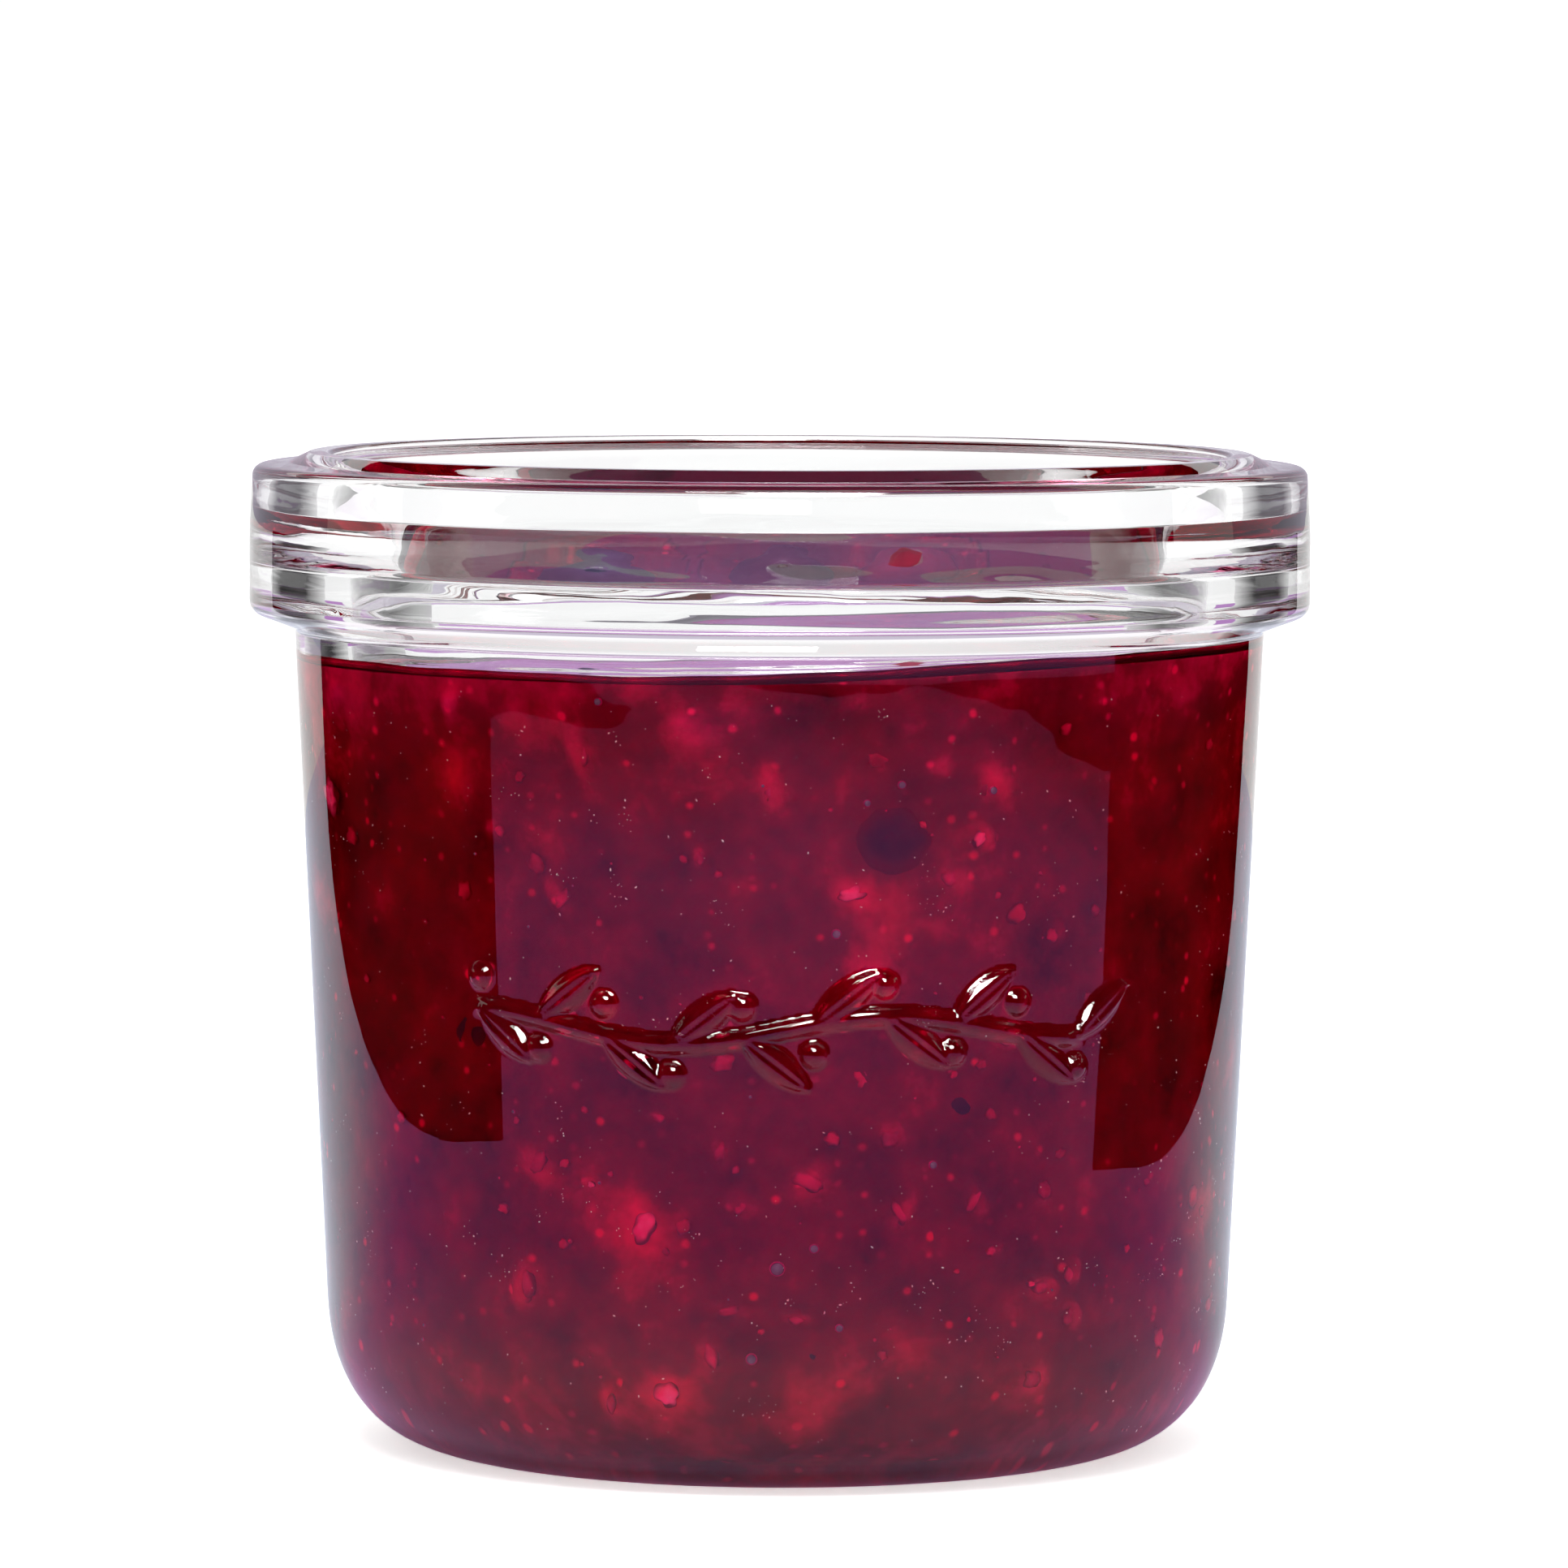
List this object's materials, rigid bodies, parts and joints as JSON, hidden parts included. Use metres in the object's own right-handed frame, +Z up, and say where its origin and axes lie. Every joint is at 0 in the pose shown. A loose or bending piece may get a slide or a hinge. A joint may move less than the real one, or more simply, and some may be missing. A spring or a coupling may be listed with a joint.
{
  "type": "open clip-top glass jar of berry jam",
  "caption": "Open thick-walled round glass jar with a heavy collar and a raised sprig on its front, filled with dark berry jam.",
  "frame": {"origin": "on the jar's axis, on the surface that the jar stands on", "axes": "+Z up along the jar's axis, -Y towards the side with the raised sprig, +X to the right as seen from that side"},
  "size_m": [0.086, 0.086, 0.0806],
  "materials": {
    "clear_glass": "clear, smooth, thick pressed glass",
    "berry_jam": null,
    "dark_berry_skin": null,
    "red_berry_skin": null
  },
  "bodies": {
    "root": {"jar": "clear_glass", "jam": "berry_jam", "dark_berry_left": "dark_berry_skin", "dark_berry_middle": "dark_berry_skin", "dark_berry_back": "dark_berry_skin", "red_berry_right": "red_berry_skin", "red_berry_back": "red_berry_skin"}
  },
  "joints": []
}
